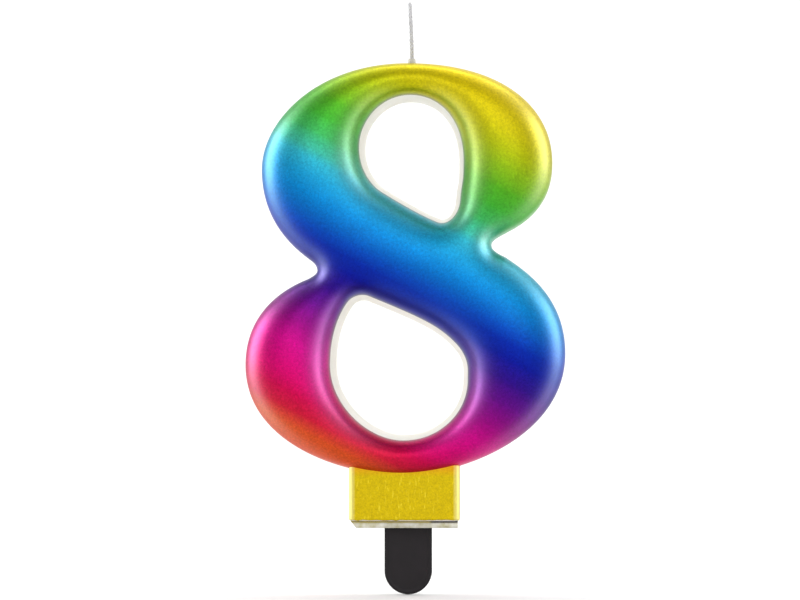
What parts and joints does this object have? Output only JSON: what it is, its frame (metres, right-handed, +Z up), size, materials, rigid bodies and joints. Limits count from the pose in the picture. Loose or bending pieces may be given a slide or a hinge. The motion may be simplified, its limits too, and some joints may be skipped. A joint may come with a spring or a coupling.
{
  "type": "number birthday candle",
  "caption": "Figure-8 birthday candle with a rainbow metallic pillow front, gold plinth, cotton wick and black cake pick.",
  "frame": {"origin": "centre of the foot's underside, where the candle rests on the cake", "axes": "+Z up towards the wick, +X to the right and -Y towards the viewer when the decorated front is seen"},
  "size_m": [0.0554, 0.0144, 0.1026],
  "materials": {
    "wax": "satin white wax",
    "rainbow_foil": "satin metallic",
    "gold_foil": "satin metallic with fine grain",
    "clear_wax": "glossy",
    "black_plastic": "fine moulded texture",
    "cotton": "waxed braid"
  },
  "bodies": {
    "root": {"wax_core": "wax", "rainbow_film": "rainbow_foil", "gold_film": "gold_foil", "base_seal": "clear_wax", "pick": "black_plastic", "wick": "cotton", "wick_bead": "clear_wax"}
  },
  "joints": []
}
